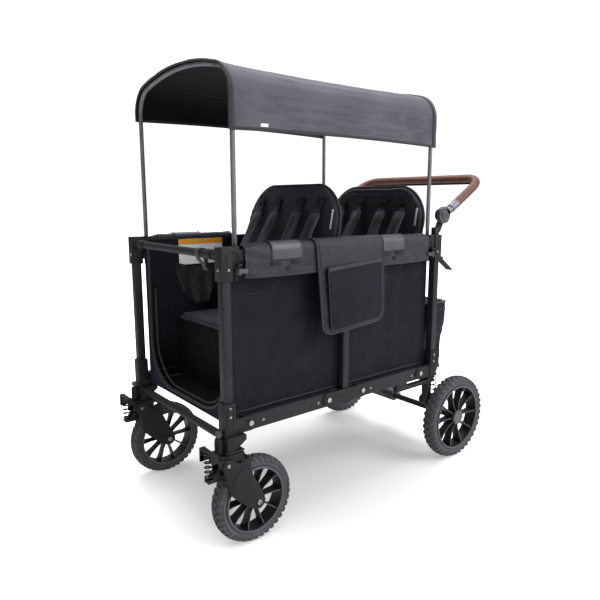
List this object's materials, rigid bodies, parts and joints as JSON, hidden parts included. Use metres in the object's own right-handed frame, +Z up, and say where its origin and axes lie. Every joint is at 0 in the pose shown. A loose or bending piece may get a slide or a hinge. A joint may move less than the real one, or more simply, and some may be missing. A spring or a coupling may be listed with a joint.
{
  "type": "kids pull wagon",
  "caption": "Folding pull wagon for children with four seats, arched canopy on poles, tilting push handle, sprung casters and a rear brake.",
  "frame": {"origin": "on the ground under the centre of the whole object's outline box", "axes": "+X towards the push handle, -Y the near side, +Z up"},
  "size_m": [1.1705, 0.6476, 1.2984],
  "materials": {
    "frame_coat": "matte dark charcoal powder coat on tube",
    "cast_bracket": "glass-filled nylon, fine grain, black",
    "bolt_steel": "zinc-plated bolt heads",
    "spring_steel": "black coated spring wire",
    "moulded_plastic": "moulded nylon, satin charcoal",
    "wheel_plastic": "moulded nylon wheel, charcoal",
    "tyre_foam": "foam-filled EVA tyre, dull dark grey",
    "pole_metal": "grey coated pole",
    "grip_leather": "stitched cognac brown leatherette",
    "tub_fabric": "black woven polyester",
    "seat_fabric": "black padded polyester",
    "canopy_cloth": "charcoal grey coated polyester"
  },
  "bodies": {
    "rear_frame": {"rear_posts": "frame_coat", "rear_top_brackets": "cast_bracket", "rear_bottom_brackets": "cast_bracket", "rear_bars": "frame_coat", "rear_legs": "frame_coat", "rear_pivot_bolts": "bolt_steel", "side_walls": "tub_fabric", "end_walls": "tub_fabric", "floor_panel": "tub_fabric", "benches": "seat_fabric", "seat_backs": "seat_fabric", "storage_bag": "tub_fabric"},
    "rear_suspension": {"rear_swing_arms": "cast_bracket", "rear_axle": "frame_coat", "rear_springs": "spring_steel"},
    "brake_pedal": {"brake_pedal": "moulded_plastic"},
    "rear_wheel_near": {"rear_rim_near": "wheel_plastic", "rear_tyre_near": "tyre_foam"},
    "rear_wheel_far": {"rear_rim_far": "wheel_plastic", "rear_tyre_far": "tyre_foam"},
    "lower_rear_rails": {"lower_rear_rails": "frame_coat"},
    "upper_rear_rails": {"upper_rear_rails": "frame_coat", "rail_covers_rear": "tub_fabric"},
    "mid_frame": {"centre_posts": "frame_coat", "mid_plates": "cast_bracket", "mid_pivot_bolts": "bolt_steel"},
    "lower_front_rails": {"lower_front_rails": "frame_coat"},
    "upper_front_rails": {"upper_front_rails": "frame_coat", "rail_covers_front": "tub_fabric"},
    "front_frame": {"front_posts": "frame_coat", "front_top_brackets": "cast_bracket", "front_bottom_brackets": "cast_bracket", "front_bars": "frame_coat", "front_pivot_bolts": "bolt_steel", "caster_heads": "cast_bracket"},
    "handle": {"handle_bar": "frame_coat", "handle_grip": "grip_leather", "handle_dials": "moulded_plastic"},
    "dial_button_near": {"dial_button_near": "moulded_plastic"},
    "dial_button_far": {"dial_button_far": "moulded_plastic"},
    "rear_canopy": {"rear_hoop": "pole_metal", "canopy_fabric": "canopy_cloth"},
    "front_canopy": {"front_hoop": "pole_metal"},
    "fold_latch": {"fold_latch": "moulded_plastic"},
    "lock_pin_near": {"lock_pin_near": "moulded_plastic"},
    "caster_near": {"caster_swivel_near": "cast_bracket", "caster_spring_near": "spring_steel"},
    "caster_fork_near": {"caster_fork_near": "moulded_plastic"},
    "front_wheel_near": {"front_rim_near": "wheel_plastic", "front_tyre_near": "tyre_foam"},
    "lever_front_near": {"lever_front_near": "moulded_plastic"},
    "lever_rear_near": {"lever_rear_near": "moulded_plastic"},
    "lock_pin_far": {"lock_pin_far": "moulded_plastic"},
    "caster_far": {"caster_swivel_far": "cast_bracket", "caster_spring_far": "spring_steel"},
    "caster_fork_far": {"caster_fork_far": "moulded_plastic"},
    "front_wheel_far": {"front_rim_far": "wheel_plastic", "front_tyre_far": "tyre_foam"},
    "lever_front_far": {"lever_front_far": "moulded_plastic"},
    "lever_rear_far": {"lever_rear_far": "moulded_plastic"}
  },
  "joints": [
    {"name": "fold", "type": "hinge", "parent": "rear_frame", "child": "lower_rear_rails", "pos_m": [0.25989, 0, 0.344], "axis": [0, 1, 0], "range_deg": [0, 68], "deforming": ["side_walls", "end_walls", "floor_panel", "benches", "seat_backs"]},
    {"name": "fold_upper_rear", "type": "hinge", "parent": "rear_frame", "child": "upper_rear_rails", "pos_m": [0.25989, 0, 0.795], "axis": [0, 1, 0], "range_deg": [0, 68]},
    {"name": "fold_mid", "type": "hinge", "parent": "lower_rear_rails", "child": "mid_frame", "pos_m": [-0.02111, 0, 0.344], "axis": [0, 1, 0], "range_deg": [-68, 0]},
    {"name": "fold_lower_front", "type": "hinge", "parent": "mid_frame", "child": "lower_front_rails", "pos_m": [-0.16311, 0, 0.344], "axis": [0, 1, 0], "range_deg": [-68, 0]},
    {"name": "fold_upper_front", "type": "hinge", "parent": "mid_frame", "child": "upper_front_rails", "pos_m": [-0.16311, 0, 0.795], "axis": [0, 1, 0], "range_deg": [-68, 0]},
    {"name": "fold_front", "type": "hinge", "parent": "lower_front_rails", "child": "front_frame", "pos_m": [-0.44411, 0, 0.344], "axis": [0, 1, 0], "range_deg": [0, 68]},
    {"name": "rear_suspension", "type": "hinge", "parent": "rear_frame", "child": "rear_suspension", "pos_m": [0.33989, 0, 0.222], "axis": [0, 1, 0], "range_deg": [-5, 0], "stiffness_Nm_per_rad": 500, "springref_deg": 6.88, "deforming": ["rear_springs"]},
    {"name": "brake", "type": "hinge", "parent": "rear_suspension", "child": "brake_pedal", "pos_m": [0.44189, 0, 0.15], "axis": [0, 1, 0], "range_deg": [0, 20]},
    {"name": "rear_wheel_near_spin", "type": "hinge", "parent": "rear_suspension", "child": "rear_wheel_near", "pos_m": [0.44189, -0.293, 0.15], "axis": [0, 1, 0], "continuous": true},
    {"name": "rear_wheel_far_spin", "type": "hinge", "parent": "rear_suspension", "child": "rear_wheel_far", "pos_m": [0.44189, 0.293, 0.15], "axis": [0, 1, 0], "continuous": true},
    {"name": "caster_lock_near", "type": "slide", "parent": "front_frame", "child": "lock_pin_near", "axis": [0, 0, 1], "range_m": [-0.007, 0]},
    {"name": "caster_swivel_near", "type": "hinge", "parent": "front_frame", "child": "caster_near", "pos_m": [-0.51011, -0.268, 0.255], "axis": [0, 0, 1], "continuous": true},
    {"name": "front_suspension_near", "type": "hinge", "parent": "caster_near", "child": "caster_fork_near", "pos_m": [-0.53111, -0.268, 0.255], "axis": [0, 1, 0], "range_deg": [-5, 0], "stiffness_Nm_per_rad": 250, "springref_deg": 6.88, "deforming": ["caster_spring_near"]},
    {"name": "front_wheel_near_spin", "type": "hinge", "parent": "caster_fork_near", "child": "front_wheel_near", "pos_m": [-0.43611, -0.268, 0.122], "axis": [0, 1, 0], "continuous": true},
    {"name": "caster_lock_far", "type": "slide", "parent": "front_frame", "child": "lock_pin_far", "axis": [0, 0, 1], "range_m": [-0.007, 0]},
    {"name": "caster_swivel_far", "type": "hinge", "parent": "front_frame", "child": "caster_far", "pos_m": [-0.51011, 0.268, 0.255], "axis": [0, 0, 1], "continuous": true},
    {"name": "front_suspension_far", "type": "hinge", "parent": "caster_far", "child": "caster_fork_far", "pos_m": [-0.53111, 0.268, 0.255], "axis": [0, 1, 0], "range_deg": [-5, 0], "stiffness_Nm_per_rad": 250, "springref_deg": 6.88, "deforming": ["caster_spring_far"]},
    {"name": "front_wheel_far_spin", "type": "hinge", "parent": "caster_fork_far", "child": "front_wheel_far", "pos_m": [-0.43611, 0.268, 0.122], "axis": [0, 1, 0], "continuous": true},
    {"name": "handle_tilt", "type": "hinge", "parent": "rear_frame", "child": "handle", "pos_m": [0.35089, 0, 0.883], "axis": [0, 1, 0], "range_deg": [-55, 35]},
    {"name": "dial_button_near_press", "type": "slide", "parent": "handle", "child": "dial_button_near", "axis": [0, 1, 0], "range_m": [0, 0.003], "stiffness_N_per_m": 800},
    {"name": "dial_button_far_press", "type": "slide", "parent": "handle", "child": "dial_button_far", "axis": [0, -1, 0], "range_m": [0, 0.003], "stiffness_N_per_m": 800},
    {"name": "canopy_slide", "type": "slide", "parent": "rear_frame", "child": "rear_canopy", "axis": [0, 0, 1], "range_m": [-0.19, 0]},
    {"name": "canopy_slide_front", "type": "slide", "parent": "front_frame", "child": "front_canopy", "axis": [0, 0, 1], "range_m": [-0.19, 0]},
    {"name": "pole_lever_front_near", "type": "hinge", "parent": "front_frame", "child": "lever_front_near", "pos_m": [-0.47611, -0.2871, 0.761], "axis": [0, 0, 1], "range_deg": [-60, 0]},
    {"name": "pole_lever_front_far", "type": "hinge", "parent": "front_frame", "child": "lever_front_far", "pos_m": [-0.47611, 0.2871, 0.761], "axis": [0, 0, 1], "range_deg": [0, 60]},
    {"name": "pole_lever_rear_near", "type": "hinge", "parent": "rear_frame", "child": "lever_rear_near", "pos_m": [0.29189, -0.2871, 0.761], "axis": [0, 0, 1], "range_deg": [0, 60]},
    {"name": "pole_lever_rear_far", "type": "hinge", "parent": "rear_frame", "child": "lever_rear_far", "pos_m": [0.29189, 0.2871, 0.761], "axis": [0, 0, 1], "range_deg": [-60, 0]},
    {"name": "fold_latch", "type": "hinge", "parent": "rear_frame", "child": "fold_latch", "pos_m": [0.35039, -0.268, 0.735], "axis": [0, 1, 0], "range_deg": [-60, 0]}
  ],
  "couplings": [
    {"joint": "fold_upper_rear", "follows": "fold", "ratio": 1},
    {"joint": "fold_mid", "follows": "fold", "ratio": -1},
    {"joint": "fold_lower_front", "follows": "fold", "ratio": -1},
    {"joint": "fold_upper_front", "follows": "fold", "ratio": -1},
    {"joint": "fold_front", "follows": "fold", "ratio": 1},
    {"joint": "canopy_slide_front", "follows": "canopy_slide", "ratio": 1}
  ]
}
